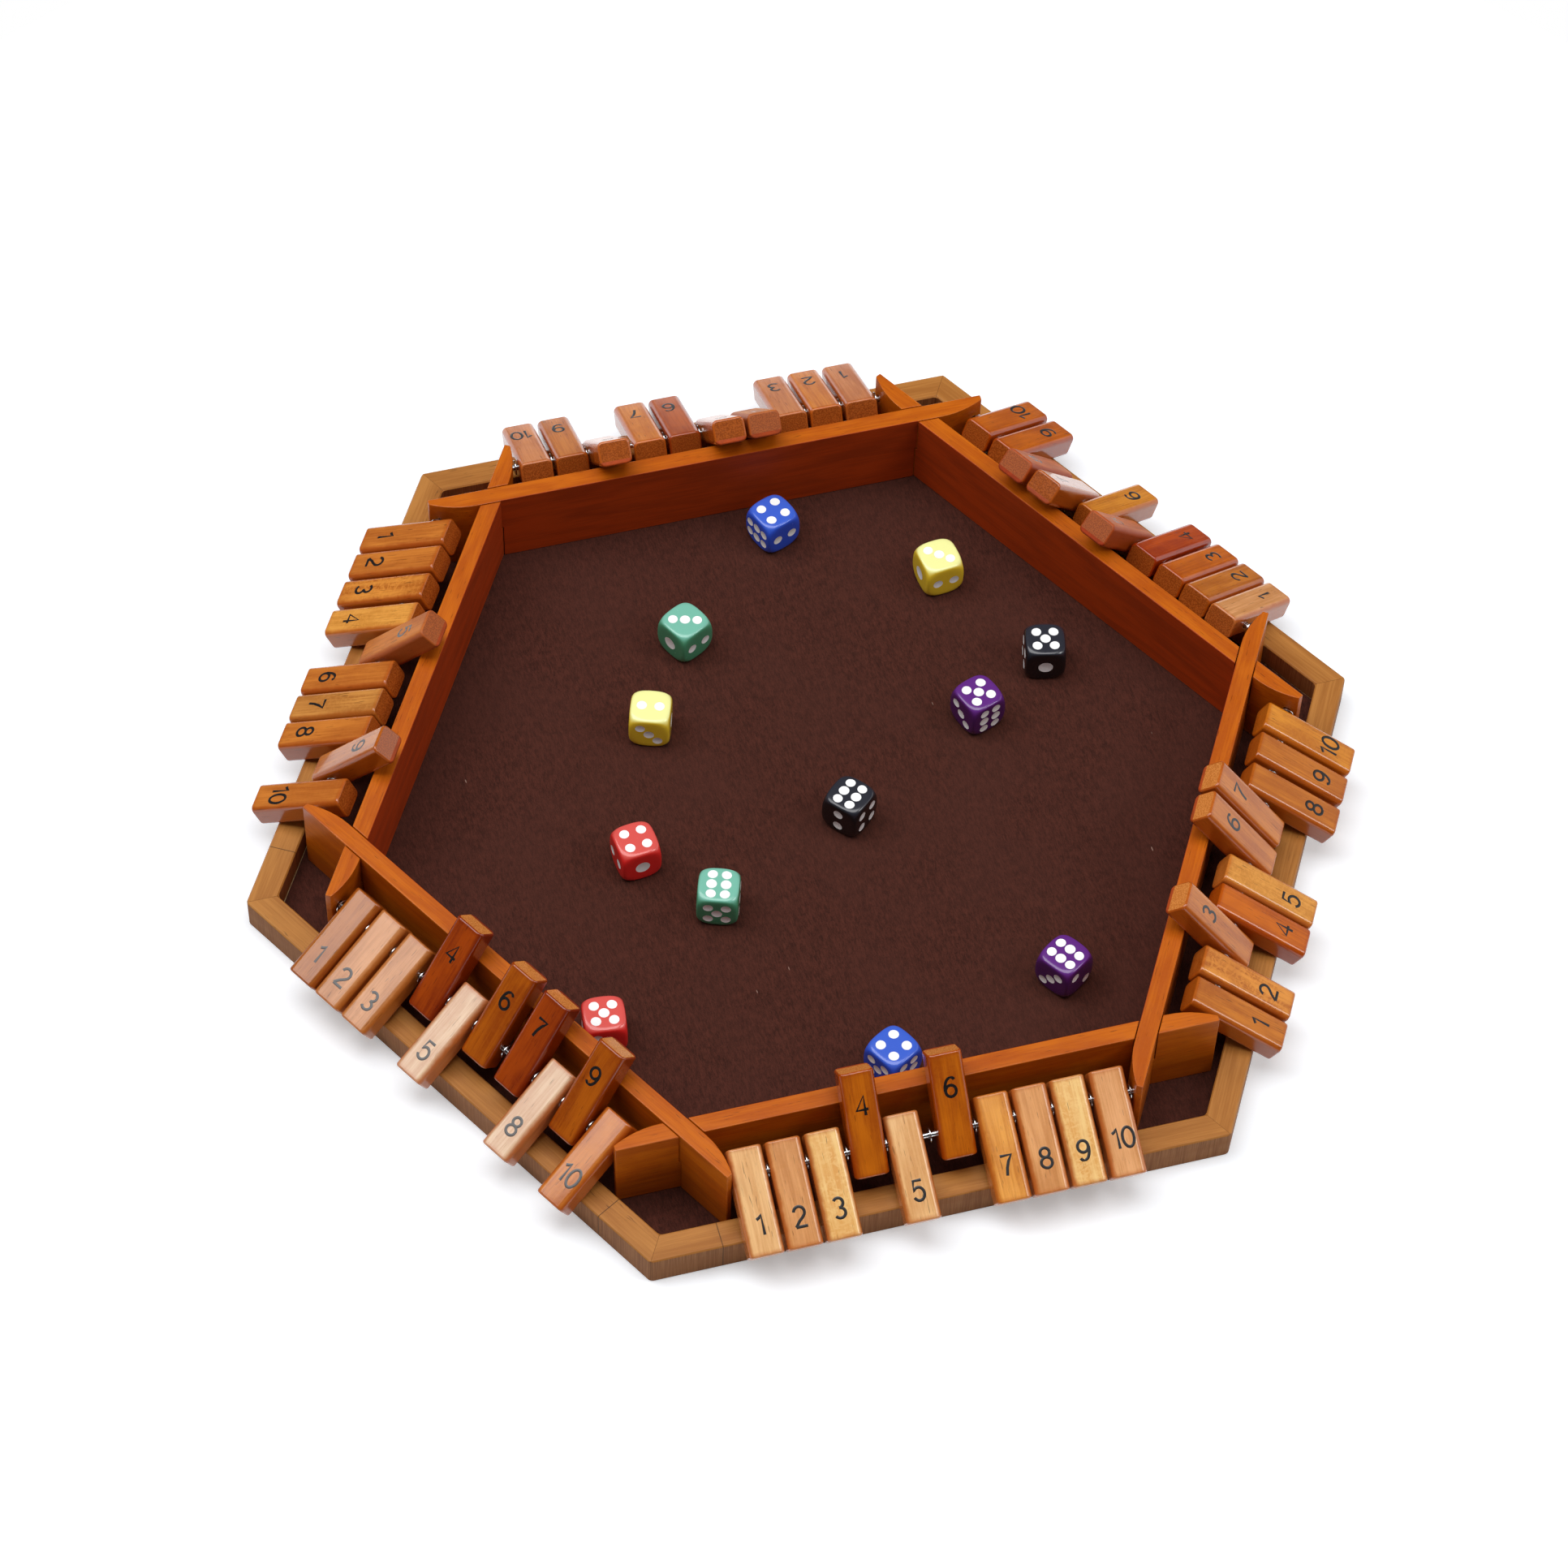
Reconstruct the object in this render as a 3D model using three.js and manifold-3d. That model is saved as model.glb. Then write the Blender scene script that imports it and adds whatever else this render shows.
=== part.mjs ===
// Six-sided shut the box game: a hexagonal tray of crossed wooden walls stands on a felt-covered board in a
// mitred rim. Outside each wall a steel rod carries ten numbered tiles, which fold down over the rim or stand
// up and lean on the wall. Twelve dice lie in the tray.
//
// Millimetres, +Z up. The origin is on the floor under the middle of the tray, and the front side faces -Y.
// Each side is built as the front side is, with +X to the right and the middle of the tray towards +Y, and
// then turned about Z.

import * as THREE from "three";
import { mergeVertices } from "three/addons/utils/BufferGeometryUtils.js";
import { RoundedBoxGeometry } from "three/addons/geometries/RoundedBoxGeometry.js";
import Module from "manifold-3d";

const wasm = await Module();
wasm.setup();

// Tiles
const tilesPerRow = 10;
const tileWidth = 12.2;
const tileLength = 37;
const tileThickness = 9.4;
const tileEdgeRadius = 2.2;
const tilePivotEnd = 8.9;
const tileRestGap = 0.2;

// Rods and washers
const rodRadius = 1;
const boreClearance = 0.3;
const washerRadius = 2.8;
const washerThickness = 0.5;
const washerClearance = 0.25;
const rowEndClearance = 0.3;
const rowPlay = 13.3;
const rodFromWall = 14.5;
const rodBelowWallTop = 8.6;
const rodEndClearance = 0.3;
const rodSkin = 1.5;

// Walls
const wallThickness = 6.8;
const wallHeight = 31.7;
const stubPastRod = 4.8;
const stubTipThickness = 2.2;
const stubTaperSetback = 1.5;
const lapSideClearance = 0.3;
const lapFloorClearance = 0.3;

// Rim, board and felt
const rimFromStub = 2.4;
const rimWidth = 9.9;
const rimHeight = 12.3;
const rimArris = 0.5;
const rabbetWidth = 4;
const boardThickness = 2.4;
const feltThickness = 0.6;
const seatClearance = 0.3;

// Dice
const dieEdge = 15;
const dieEdgeRadius = 0.8;
const dieCornerDistance = 10.25;
const dieSeatClearance = 0.05;
const pipRadius = 1.7;
const onePipRadius = 2.6;
const pipDepth = 0.5;
const pipOut = 3.23;
const sixColumnOut = 2.57;
const sixRowOut = 4.27;

// How far cutting bodies run past what they cut
const cutOverrun = 2;

// Facets
const roundEdgeFacets = 3;
const facetsPerCurveSegment = 2;
const rodFacets = 8;
const washerFacets = 8;
const taperFacets = 6;
const dieEdgeFacets = 1;
const pipFacets = 6;

// The hexagon
const sideCount = 6;
const sideTurn = (2 * Math.PI) / sideCount;
const halfTurn = sideTurn / 2;

// Heights above the floor
const feltTop = boardThickness + feltThickness;
const wallTop = feltTop + wallHeight;
const rodHeight = wallTop - rodBelowWallTop;

// One row of tiles, with its least gaps between tiles that move apart from each other
const leastMovingGap = washerThickness + 2 * washerClearance;
const rowLength = tilesPerRow * tileWidth + (tilesPerRow - 1) * washerThickness + 2 * rowEndClearance + rowPlay;

// The stub of a wall past its crossing reaches beyond the rod of the next side
const stubLength = (rodFromWall + stubPastRod) / Math.sin(sideTurn);

// The row fits between the tips of two stubs, which sets the distance of a wall's outer face from the middle
const tipInset = stubTipThickness * Math.cos(halfTurn) + stubLength * Math.sin(halfTurn);
const wallOuter = (rowLength / 2 + tipInset) / Math.tan(halfTurn);
const wallInner = wallOuter - wallThickness;
const wallMiddle = wallOuter - wallThickness / 2;
const wallHalfLength = wallOuter * Math.tan(halfTurn) + stubLength;
const rodOut = wallOuter + rodFromWall;
const rimInner = rodOut + stubPastRod + rimFromStub;
const rimOuter = rimInner + rimWidth;

// Where the crossing wall's outer face meets this wall's inner face, measured along this wall
const crossingEnd = (wallOuter - wallInner * Math.cos(sideTurn)) / Math.sin(sideTurn);

// Where the outer face of a stub stands on the axis of the rod that it holds, and how far the rod goes in
const stubFaceOnRod = wallOuter * Math.sin(sideTurn)
  - ((rodOut - wallOuter * Math.cos(sideTurn)) / Math.sin(sideTurn)) * Math.cos(sideTurn);
const rodHoleEnd = stubFaceOnRod - rodSkin;
const rodHalfLength = rodHoleEnd - rodEndClearance;

// A raised tile leans on the outer top edge of its wall, and a lowered one lies on the outer top edge of the
// rim. Both angles are turned from upright about the rod, positive outwards and down.
const contactOffset = tileThickness / 2 + tileRestGap;
const leanTurn = -(Math.atan2(rodFromWall, rodBelowWallTop)
  - Math.asin(contactOffset / Math.hypot(rodFromWall, rodBelowWallTop)));
const rimEdgeOut = rimOuter - rimArris - rodOut;
const rimEdgeDown = rodHeight - rimHeight;
const lieTurn = Math.PI / 2 + Math.atan2(rimEdgeDown, rimEdgeOut)
  - Math.asin(contactOffset / Math.hypot(rimEdgeOut, rimEdgeDown));

// Which tiles stand up in each row, and how the row's free length is shared among its gaps, from the end
// beside tile 1 to the end beside tile 10
const sides = [
  { name: "front", turns: 0, raised: [4, 6], gapShares: [0, 3, 4, 4, 0, 19, 4, 3, 3, 5, 7] },
  { name: "front_right", turns: 1, raised: [3, 6, 7], gapShares: [12, 3, 0, 3, 1, 0, 3, 6, 6, 4, 12] },
  { name: "back_right", turns: 2, raised: [5, 7, 8], gapShares: [16, 0, 0, 3, 0, 1, 1, 6, 11, 3, 8] },
  { name: "back", turns: 3, raised: [4, 5, 8], gapShares: [9, 4, 3, 3, 3, 2, 3, 14, 0, 4, 5] },
  { name: "back_left", turns: 4, raised: [5, 9], gapShares: [10, 1, 3, 6, 3, 2, 1, 0, 4, 6, 13] },
  { name: "front_left", turns: 5, raised: [4, 6, 7, 9], gapShares: [10, 1, 4, 8, 0, 1, 16, 2, 0, 2, 5] },
];

// Where each die lies, in shares of the distance from the middle to a wall's inner face, its turn, and the
// pips on three of its faces. Twos, threes and sixes lie across or up their face, or rise or fall to its right.
const dice = [
  { name: "die_blue_back", colour: 0x2348a8, xShare: 0.145, yShare: 0.887, degrees: -68,
    top: "4", right: "2 across", left: "6 across" },
  { name: "die_yellow_back", colour: 0xe3c12f, xShare: 0.538, yShare: 0.633, degrees: -83,
    top: "3 rising", right: "2 across", left: "1" },
  { name: "die_black_right", colour: 0x16181d, xShare: 0.732, yShare: 0.289, degrees: -102.5,
    top: "5", right: "1", left: "4" },
  { name: "die_purple_right", colour: 0x5b1a78, xShare: 0.51, yShare: 0.161, degrees: -70,
    top: "5", right: "6 up", left: "3 falling" },
  { name: "die_green_back", colour: 0x2f7f5f, xShare: -0.178, yShare: 0.583, degrees: -61.5,
    top: "3 rising", right: "2 across", left: "1" },
  { name: "die_yellow_left", colour: 0xe3c12f, xShare: -0.336, yShare: 0.327, degrees: -19.5,
    top: "2 across", right: "1", left: "3 falling" },
  { name: "die_black_middle", colour: 0x16181d, xShare: 0.094, yShare: -0.075, degrees: -49,
    top: "6 up", right: "4", left: "2 up" },
  { name: "die_red_left", colour: 0xc21f28, xShare: -0.477, yShare: -0.078, degrees: -84,
    top: "4", right: "1", left: "2 across" },
  { name: "die_green_front", colour: 0x2f7f5f, xShare: -0.306, yShare: -0.268, degrees: -19.5,
    top: "6 up", right: "3 rising", left: "5" },
  { name: "die_red_front", colour: 0xc21f28, xShare: -0.682, yShare: -0.577, degrees: -96.5,
    top: "5", right: "3 falling", left: "1" },
  { name: "die_purple_front", colour: 0x5b1a78, xShare: 0.488, yShare: -0.689, degrees: -56.5,
    top: "6 across", right: "2 falling", left: "3 rising" },
  { name: "die_blue_front", colour: 0x2348a8, xShare: -0.007, yShare: -0.847, degrees: -60.5,
    top: "4", right: "6 up", left: "5" },
];

// Materials
const tileWood = { color: 0xb5682f, roughness: 0.4, metalness: 0 };
const wallWood = { color: 0xa8561c, roughness: 0.45, metalness: 0 };
const rimWood = { color: 0x8a6434, roughness: 0.5, metalness: 0 };
const boardWood = { color: 0xa98a5c, roughness: 0.7, metalness: 0 };
const feltCloth = { color: 0x3c231d, roughness: 1, metalness: 0 };
const steel = { color: 0xc9cbcd, roughness: 0.25, metalness: 1 };
const plastic = { roughness: 0.25, metalness: 0 };

// Solids from closed geometries, and geometries from solids
function solidOf(geometry) {
  const bare = geometry.clone();
  bare.deleteAttribute("normal");
  bare.deleteAttribute("uv");
  const welded = mergeVertices(bare);
  return new wasm.Manifold(new wasm.Mesh({
    numProp: 3,
    vertProperties: new Float32Array(welded.attributes.position.array),
    triVerts: new Uint32Array(welded.index.array),
  }));
}

function geometryOf(solid) {
  const mesh = solid.getMesh();
  const geometry = new THREE.BufferGeometry();
  geometry.setAttribute("position", new THREE.BufferAttribute(mesh.vertProperties, mesh.numProp));
  geometry.setIndex(new THREE.BufferAttribute(mesh.triVerts, 1));
  geometry.computeVertexNormals();
  return geometry;
}

function meshOf(name, geometry, look) {
  const mesh = new THREE.Mesh(geometry, new THREE.MeshStandardMaterial(look));
  mesh.name = name;
  return mesh;
}

// A bar with flat facets all round, lying along X, with its flats at least the radius from its axis
function cuttingBar(radius, length, facets) {
  const cornerRadius = radius / Math.cos(Math.PI / facets);
  return new THREE.CylinderGeometry(cornerRadius, cornerRadius, length, facets).rotateZ(Math.PI / 2);
}

function hexagonalPlate(apothem, thickness, bottom) {
  const cornerRadius = apothem / Math.cos(halfTurn);
  return new THREE.CylinderGeometry(cornerRadius, cornerRadius, thickness, sideCount)
    .rotateX(Math.PI / 2)
    .rotateZ(halfTurn)
    .translate(0, 0, bottom + thickness / 2);
}

// The rim is one profile mitred round the hexagon, with a rabbet below for the board
function rimGeometry() {
  const rabbetHeight = boardThickness + seatClearance;
  const profile = [
    [rimInner + rabbetWidth, 0],
    [rimOuter, 0],
    [rimOuter, rimHeight - rimArris],
    [rimOuter - rimArris, rimHeight],
    [rimInner + rimArris, rimHeight],
    [rimInner, rimHeight - rimArris],
    [rimInner, rabbetHeight],
    [rimInner + rabbetWidth, rabbetHeight],
    [rimInner + rabbetWidth, 0],
  ];
  const points = profile.map(([out, up]) => new THREE.Vector2(out / Math.cos(halfTurn), up));
  return new THREE.LatheGeometry(points, sideCount, Math.PI / 2).rotateX(Math.PI / 2);
}

// A wall in plan: flat outside, and thinned in a curve towards each tip on the side of the next row's tiles
function wallOutline() {
  const taperStart = crossingEnd + stubTaperSetback;
  const taperBend = (taperStart + wallHalfLength) / 2;
  const tipFace = wallOuter - stubTipThickness;
  const outline = new THREE.Shape();
  outline.moveTo(-wallHalfLength, -wallOuter);
  outline.lineTo(wallHalfLength, -wallOuter);
  outline.lineTo(wallHalfLength, -tipFace);
  outline.quadraticCurveTo(taperBend, -wallInner, taperStart, -wallInner);
  outline.lineTo(-taperStart, -wallInner);
  outline.quadraticCurveTo(-taperBend, -wallInner, -wallHalfLength, -tipFace);
  outline.closePath();
  return outline;
}

// Walls cross in half laps: every other wall is notched from above, and the ones between from below
function wallGeometry(notchedFromAbove) {
  const board = new THREE.ExtrudeGeometry(wallOutline(), {
    depth: wallHeight,
    bevelEnabled: false,
    curveSegments: taperFacets,
  });
  let solid = solidOf(board.translate(0, 0, feltTop));

  const notchHeight = wallHeight / 2 + lapFloorClearance / 2 + cutOverrun;
  const notchWidth = wallThickness + 2 * lapSideClearance;
  const notchMiddle = notchedFromAbove
    ? wallTop + cutOverrun - notchHeight / 2
    : feltTop - cutOverrun + notchHeight / 2;
  for (const side of [-1, 1]) {
    const notch = new THREE.BoxGeometry(2 * wallHalfLength, notchWidth, notchHeight)
      .translate(0, -wallMiddle, notchMiddle)
      .rotateZ(side * sideTurn);
    solid = solid.subtract(solidOf(notch));

    const hole = cuttingBar(rodRadius + boreClearance, 2 * rodHoleEnd, rodFacets)
      .translate(0, -rodOut, rodHeight)
      .rotateZ(side * sideTurn);
    solid = solid.subtract(solidOf(hole));
  }
  return geometryOf(solid);
}

// The tiles of a row: the middle of each along the rod, the gap before each, and the gap after the last
function rowLayout({ raised, gapShares }) {
  const gapLeast = gapShares.map((share, gap) => {
    const atEnd = gap === 0 || gap === tilesPerRow;
    const moving = raised.includes(gap) !== raised.includes(gap + 1);
    return atEnd ? rowEndClearance : moving ? leastMovingGap : washerThickness;
  });
  const sum = (numbers) => numbers.reduce((total, number) => total + number, 0);
  const play = rowLength - tilesPerRow * tileWidth - sum(gapLeast);
  const gaps = gapShares.map((share, gap) => gapLeast[gap] + (play * share) / sum(gapShares));

  const middles = [];
  const gapMiddles = [];
  let along = -rowLength / 2;
  gaps.forEach((width, gap) => {
    gapMiddles.push(along + width / 2);
    along += width;
    if (gap < tilesPerRow) {
      middles.push(along + tileWidth / 2);
      along += tileWidth;
    }
  });
  return { gaps, gapMiddles, middles };
}

// Neighbouring tiles that stand alike make one run
function tileRuns(raised) {
  const runs = [];
  for (let number = 1; number <= tilesPerRow; number += 1) {
    const up = raised.includes(number);
    const last = runs[runs.length - 1];
    if (last && last.up === up) {
      last.numbers.push(number);
    } else {
      runs.push({ up, numbers: [number] });
    }
  }
  return runs;
}

function tileOutline() {
  const x = tileWidth / 2;
  const y = tileThickness / 2;
  const r = tileEdgeRadius;
  const outline = new THREE.Shape();
  outline.absarc(x - r, y - r, r, 0, Math.PI / 2);
  outline.absarc(-x + r, y - r, r, Math.PI / 2, Math.PI);
  outline.absarc(-x + r, -y + r, r, Math.PI, Math.PI * 1.5);
  outline.absarc(x - r, -y + r, r, Math.PI * 1.5, Math.PI * 2);
  outline.closePath();
  return outline;
}

// A run of tiles standing upright on the rod's axis, with the washers between them, bored for the rod
function runGeometry(numbers, middles) {
  const first = middles[numbers[0] - 1];
  const last = middles[numbers[numbers.length - 1] - 1];
  const tile = new THREE.ExtrudeGeometry(tileOutline(), {
    depth: tileLength,
    bevelEnabled: false,
    curveSegments: roundEdgeFacets / facetsPerCurveSegment,
  }).translate(0, 0, -tilePivotEnd);

  let solid = null;
  for (const number of numbers) {
    const placed = solidOf(tile.clone().translate(middles[number - 1], 0, 0));
    solid = solid ? solid.add(placed) : placed;
  }
  if (numbers.length > 1) {
    const washers = new THREE.CylinderGeometry(washerRadius, washerRadius, last - first, washerFacets)
      .rotateZ(Math.PI / 2)
      .translate((first + last) / 2, 0, 0);
    solid = solid.add(solidOf(washers));
  }
  const boreLength = last - first + tileWidth + 2 * cutOverrun;
  const bore = cuttingBar(rodRadius + boreClearance, boreLength, rodFacets)
    .translate((first + last) / 2, 0, 0);
  return geometryOf(solid.subtract(solidOf(bore)));
}

// The rod is turned with the washers that stand between tiles that move apart from each other
function rodGeometry(washerMiddles) {
  const points = [new THREE.Vector2(0, -rodHalfLength), new THREE.Vector2(rodRadius, -rodHalfLength)];
  for (const middle of washerMiddles) {
    points.push(new THREE.Vector2(rodRadius, middle - washerThickness / 2));
    points.push(new THREE.Vector2(washerRadius, middle - washerThickness / 2));
    points.push(new THREE.Vector2(washerRadius, middle + washerThickness / 2));
    points.push(new THREE.Vector2(rodRadius, middle + washerThickness / 2));
  }
  points.push(new THREE.Vector2(rodRadius, rodHalfLength), new THREE.Vector2(0, rodHalfLength));
  return new THREE.LatheGeometry(points, rodFacets).rotateZ(-Math.PI / 2);
}

// One side: its wall, its rod and its runs of tiles
function sideGroup(side) {
  const { gaps, gapMiddles, middles } = rowLayout(side);
  const runs = tileRuns(side.raised);
  const group = new THREE.Group();
  group.add(meshOf(`wall_${side.name}`, wallGeometry(side.turns % 2 === 0), wallWood));

  const betweenRuns = [0, ...runs.map((run) => run.numbers[run.numbers.length - 1])];
  const washerGaps = betweenRuns.filter((gap) => gaps[gap] >= leastMovingGap - washerClearance);
  const rod = meshOf(`rod_${side.name}`, rodGeometry(washerGaps.map((gap) => gapMiddles[gap])), steel);
  rod.position.set(0, -rodOut, rodHeight);
  group.add(rod);

  for (const { up, numbers } of runs) {
    const label = numbers.length > 1 ? `tiles_${side.name}_${numbers[0]}_to_${numbers[numbers.length - 1]}`
      : `tile_${side.name}_${numbers[0]}`;
    const run = meshOf(label, runGeometry(numbers, middles), tileWood);
    run.position.set(0, -rodOut, rodHeight);
    run.rotation.x = up ? leanTurn : lieTurn;
    group.add(run);
  }
  group.rotation.z = side.turns * sideTurn;
  return group;
}

function pipPlaces(value, lay) {
  const pairs = {
    across: [[-pipOut, 0], [pipOut, 0]],
    up: [[0, -pipOut], [0, pipOut]],
    rising: [[-pipOut, -pipOut], [pipOut, pipOut]],
    falling: [[-pipOut, pipOut], [pipOut, -pipOut]],
  };
  if (value === 6) {
    const columns = [-sixRowOut, 0, sixRowOut].flatMap((row) => [[-sixColumnOut, row], [sixColumnOut, row]]);
    return lay === "across" ? columns.map(([x, y]) => [y, x]) : columns;
  }
  const around = value > 3 ? [...pairs.rising, ...pairs.falling] : pairs[lay] ?? [];
  return value % 2 ? [...around, [0, 0]] : around;
}

// Each face of a die, with the turns about X and then Z that lay on it a pattern drawn on the top face. The
// pips of opposite faces add up to seven.
function dieFaces({ top, right, left }) {
  const faceOf = (text, aboutX, aboutZ) => {
    const [value, lay] = text.split(" ");
    return { value: Number(value), lay, aboutX, aboutZ };
  };
  const oppositeOf = ({ value }, aboutX, aboutZ) => {
    const lay = { 2: "falling", 3: "rising", 6: "up" }[7 - value];
    return { value: 7 - value, lay, aboutX, aboutZ };
  };
  const quarter = Math.PI / 2;
  const seen = [faceOf(top, 0, 0), faceOf(right, quarter, quarter), faceOf(left, quarter, 0)];
  return [
    ...seen,
    oppositeOf(seen[0], 2 * quarter, 0),
    oppositeOf(seen[1], quarter, 3 * quarter),
    oppositeOf(seen[2], quarter, 2 * quarter),
  ];
}

// A pip is a shallow pit, cut by a cone that stands on its tip and runs as far out of the face as it goes in
function pipCutter(radius) {
  return new THREE.ConeGeometry(2 * radius, 2 * pipDepth, pipFacets)
    .rotateX(-Math.PI / 2)
    .translate(0, 0, dieEdge / 2);
}

// A die is a cube with eased edges, and its corners are cut off square to its diagonals
function dieMesh(spec) {
  const cube = new RoundedBoxGeometry(dieEdge, dieEdge, dieEdge, dieEdgeFacets, dieEdgeRadius);
  const cornerCuts = new THREE.OctahedronGeometry(dieCornerDistance * Math.sqrt(3));
  let solid = solidOf(cube).intersect(solidOf(cornerCuts));
  for (const { value, lay, aboutX, aboutZ } of dieFaces(spec)) {
    const cutter = pipCutter(value === 1 ? onePipRadius : pipRadius);
    for (const [x, y] of pipPlaces(value, lay)) {
      const pit = cutter.clone().translate(x, y, 0).rotateX(aboutX).rotateZ(aboutZ);
      solid = solid.subtract(solidOf(pit));
    }
  }
  const { name, colour, xShare, yShare, degrees } = spec;
  const die = meshOf(name, geometryOf(solid), { ...plastic, color: colour });
  die.position.set(xShare * wallInner, yShare * wallInner, feltTop + dieSeatClearance + dieEdge / 2);
  die.rotation.z = THREE.MathUtils.degToRad(degrees);
  return die;
}

const game = new THREE.Group();
game.add(meshOf("rim", rimGeometry(), rimWood));
game.add(meshOf("board", hexagonalPlate(rimInner + rabbetWidth - seatClearance, boardThickness, 0), boardWood));
game.add(meshOf("felt", hexagonalPlate(rimInner - seatClearance, feltThickness, boardThickness), feltCloth));
sides.forEach((side) => game.add(sideGroup(side)));
dice.forEach((die) => game.add(dieMesh(die)));

export default game;
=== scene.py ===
"""A six-sided shut the box game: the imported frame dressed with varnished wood, felt, steel and dice.

Metres, +Z up. The front side faces -Y. Each side is worked out as the front side is, with +X to the right
and the middle of the tray towards +Y, and then turned about Z.
"""

import math

import bmesh
import bpy
from mathutils import Matrix, Vector


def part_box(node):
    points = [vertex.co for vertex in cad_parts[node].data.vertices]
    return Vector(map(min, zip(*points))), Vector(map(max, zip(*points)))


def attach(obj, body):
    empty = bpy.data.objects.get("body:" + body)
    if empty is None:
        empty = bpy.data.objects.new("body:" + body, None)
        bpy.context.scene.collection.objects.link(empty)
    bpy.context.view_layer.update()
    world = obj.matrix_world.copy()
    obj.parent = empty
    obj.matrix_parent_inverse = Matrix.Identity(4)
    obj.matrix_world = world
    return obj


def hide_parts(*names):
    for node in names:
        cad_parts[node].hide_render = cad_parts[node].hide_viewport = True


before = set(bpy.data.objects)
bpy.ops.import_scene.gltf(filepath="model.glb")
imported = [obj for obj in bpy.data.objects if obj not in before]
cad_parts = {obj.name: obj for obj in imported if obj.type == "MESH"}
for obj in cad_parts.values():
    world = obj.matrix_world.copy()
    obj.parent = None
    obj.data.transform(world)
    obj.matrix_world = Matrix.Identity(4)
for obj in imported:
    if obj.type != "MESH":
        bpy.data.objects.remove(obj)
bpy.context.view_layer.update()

MM = 0.001

# Tiles
TILES_PER_ROW = 10
TILE_WIDTH = 12.2 * MM
TILE_LENGTH = 37 * MM
TILE_THICKNESS = 9.4 * MM
TILE_EDGE_RADIUS = 2.1 * MM
TILE_END_RADIUS = 0.8 * MM
TILE_PIVOT_END = 8.9 * MM
TILE_REST_GAP = 0.2 * MM
BORE_RADIUS = 1.3 * MM
BORE_LENGTH_SHARE = 1.2

# Rods and washers
ROD_RADIUS = 1.0 * MM
WASHER_RADIUS = 2.8 * MM
WASHER_THICKNESS = 0.5 * MM
WASHER_CLEARANCE = 0.25 * MM
WASHER_EDGE_BEVEL = 0.08 * MM
# A drawn washer's shares of its full thickness and radius, its hole's share of the rod's radius, and the
# least gap that holds a washer, as a share of its thickness
WASHER_THICKNESS_SHARE = 0.85
WASHER_RADIUS_SHARE = 0.985
WASHER_HOLE_SHARE = 1.12
WASHER_GAP_SHARE = 0.98
ROW_END_CLEARANCE = 0.3 * MM
ROW_PLAY = 13.3 * MM
ROD_FROM_WALL = 14.5 * MM
ROD_BELOW_WALL_TOP = 8.6 * MM

# Edges of the boards. The rim's arris is in the frame, and the others are eased off copies of its pieces
WALL_ARRIS = 0.35 * MM
RIM_ARRIS = 0.5 * MM
RAIL_EASING = 0.2 * MM
FLOOR_BOARD_EASING = 0.12 * MM
RIM_CORNER_RADIUS = 1.2 * MM
MITRE_GAP = 0.04 * MM
SEAM_FROM_CORNER = 25 * MM
SEAM_WIDTH = 0.22 * MM
NO_SEAM_NEAR = 1.0

# Digits
DIGIT_HEIGHT = 7.8 * MM
DIGIT_STROKE = 1.05 * MM
DIGIT_PITCH = 4.1 * MM
DIGIT_FROM_END_LYING = 10.4 * MM
DIGIT_FROM_END_STANDING = 12 * MM
INK_LIFT = 0.03 * MM

# Dice
DIE_EDGE = 15 * MM
DIE_BALL_RADIUS = 10.9 * MM
DIE_FULLNESS = 18
DIE_CUTS = 27
PIP_RADIUS = 1.92 * MM
ONE_PIP_RADIUS = 2.7 * MM
PIP_DEPTH = 0.22 * MM
PIP_CAP_SHARE = 0.6
PIP_OUT = 3.23 * MM
SIX_COLUMN_OUT = 2.57 * MM
SIX_ROW_OUT = 4.27 * MM

# The white sheet under the object
SHEET_RADIUS = 500 * MM
SHEET_DROP = 0.2 * MM

# How near is near enough
LEVEL_WITHIN = 0.01 * MM
MERGE_WITHIN = 0.002 * MM
SPIN_MERGE_WITHIN = 0.001 * MM
CUT_END_WITHIN = 0.02 * MM
INNER_FACE_WITHIN = 0.1 * MM
# An edge is upright if its rise is over this share of its length
UPRIGHT_SHARE = 0.9

# Where in the wood the first board is cut, and how far on each next piece is, so that no two look alike
WALL_GRAIN = ((0.3, 0, 0), (0.11, 0.07, 0.05))
RAIL_GRAIN = ((0.9, 0, 0), (0.13, 0.05, 0.09))
TILE_GRAIN = ((0, 0, 0), (0.031, 0.017, 0.043))

SIDE_TURN = math.radians(60)

# The rod's place and length, the rim's top edge and the wall's inner face come from the frame
FRONT_ROD_LOW, FRONT_ROD_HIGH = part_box("rod_front")
ROD_OUT = -(FRONT_ROD_LOW.y + FRONT_ROD_HIGH.y) / 2
ROD_HEIGHT = (FRONT_ROD_LOW.z + FRONT_ROD_HIGH.z) / 2
ROD_HALF_LENGTH = (FRONT_ROD_HIGH.x - FRONT_ROD_LOW.x) / 2
RIM_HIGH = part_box("rim")[1]
WALL_INNER = -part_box("wall_front")[1].y

# A raised tile leans on the wall's outer top edge, and a lowered one lies on the rim's outer top edge
CONTACT = TILE_THICKNESS / 2 + TILE_REST_GAP
LEAN_TURN = -(math.atan2(ROD_FROM_WALL, ROD_BELOW_WALL_TOP)
              - math.asin(CONTACT / math.hypot(ROD_FROM_WALL, ROD_BELOW_WALL_TOP)))
RIM_EDGE_OUT = RIM_HIGH.y - RIM_ARRIS - ROD_OUT
RIM_EDGE_DOWN = ROD_HEIGHT - RIM_HIGH.z
LIE_TURN = (math.pi / 2 + math.atan2(RIM_EDGE_DOWN, RIM_EDGE_OUT)
            - math.asin(CONTACT / math.hypot(RIM_EDGE_OUT, RIM_EDGE_DOWN)))

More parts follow.
